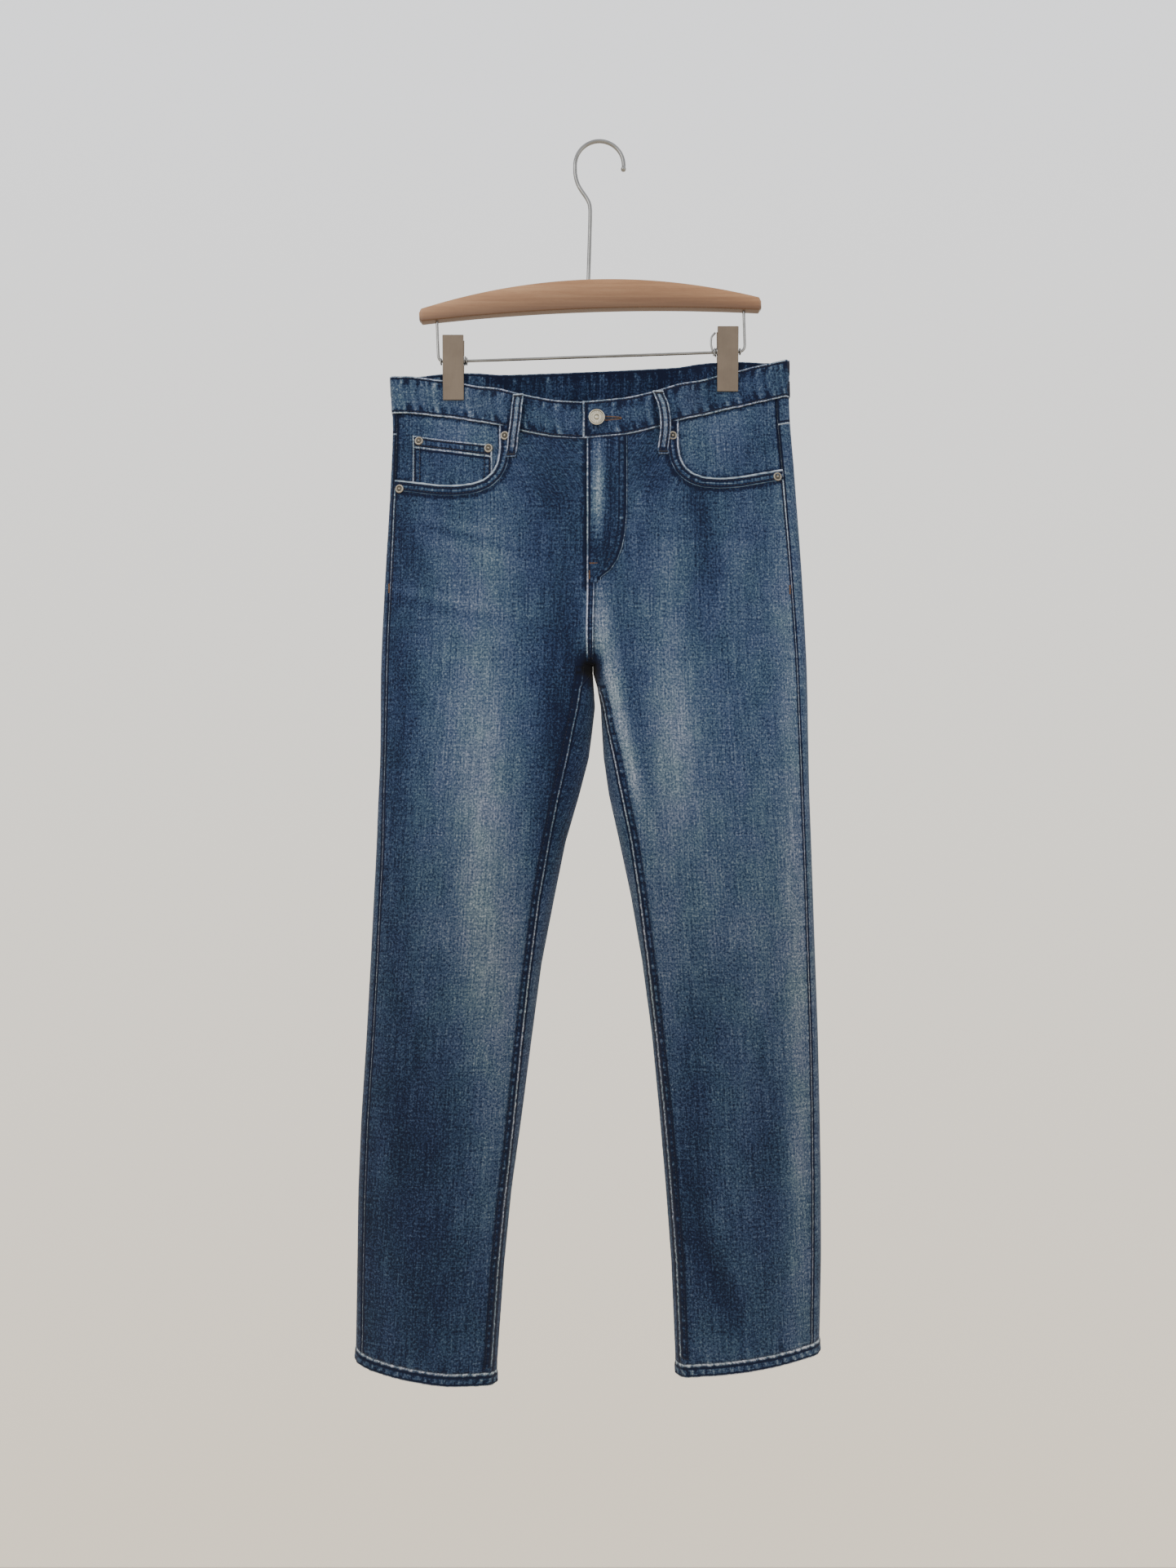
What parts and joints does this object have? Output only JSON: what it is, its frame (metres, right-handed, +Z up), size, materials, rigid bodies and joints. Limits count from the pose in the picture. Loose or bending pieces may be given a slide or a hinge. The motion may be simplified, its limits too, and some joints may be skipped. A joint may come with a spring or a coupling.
{
  "type": "jeans on a clip hanger",
  "caption": "Slim straight five-pocket denim jeans, front to the viewer, hung by the waistband from a wooden trouser hanger with spring clips and a wire hook.",
  "frame": {"origin": "inside top of the hanger's hook loop, where the peg or rail bears", "axes": "+Z up; the garment's front faces -Y; +X is the viewer's right, which is the wearer's left"},
  "size_m": [0.5025, 0.0869, 1.334],
  "materials": {
    "denim": "mid blue stretch denim twill, faded in soft patches over the thighs",
    "beech": "pale beech, clear satin lacquer, grain along the bar",
    "polished_steel": "polished steel wire",
    "satin_nickel": "satin nickel plate with a warm cast",
    "pale_metal": "pale silver, slightly worn"
  },
  "bodies": {
    "root": {"back_left": "denim", "back_leg_left": "denim", "back_leg_right": "denim", "back_pocket_left": "denim", "back_pocket_right": "denim", "back_right": "denim", "belt_loop_back_centre": "denim", "belt_loop_back_left": "denim", "belt_loop_back_right": "denim", "belt_loop_front_left": "denim", "belt_loop_front_right": "denim", "button": "pale_metal", "clip_back_left": "satin_nickel", "clip_back_right": "satin_nickel", "clip_front_left": "satin_nickel", "clip_front_right": "satin_nickel", "clip_spring_left": "polished_steel", "clip_spring_right": "polished_steel", "coin_pocket": "denim", "fly": "denim", "front_left": "denim", "front_right": "denim", "hang_wire": "polished_steel", "hanger_bar": "beech", "hem_left": "denim", "hem_right": "denim", "hook": "polished_steel", "inseam_fell_left": "denim", "inseam_fell_right": "denim", "pocket_facing_left": "denim", "pocket_facing_right": "denim", "rise_fell_back": "denim", "rise_fell_front": "denim", "rivet_coin_inner": "pale_metal", "rivet_coin_outer": "pale_metal", "rivet_left_inner": "pale_metal", "rivet_left_outer": "pale_metal", "rivet_right_inner": "pale_metal", "rivet_right_outer": "pale_metal", "waistband": "denim", "yoke_fell_left": "denim", "yoke_fell_right": "denim", "yoke_left": "denim", "yoke_right": "denim"}
  },
  "joints": []
}
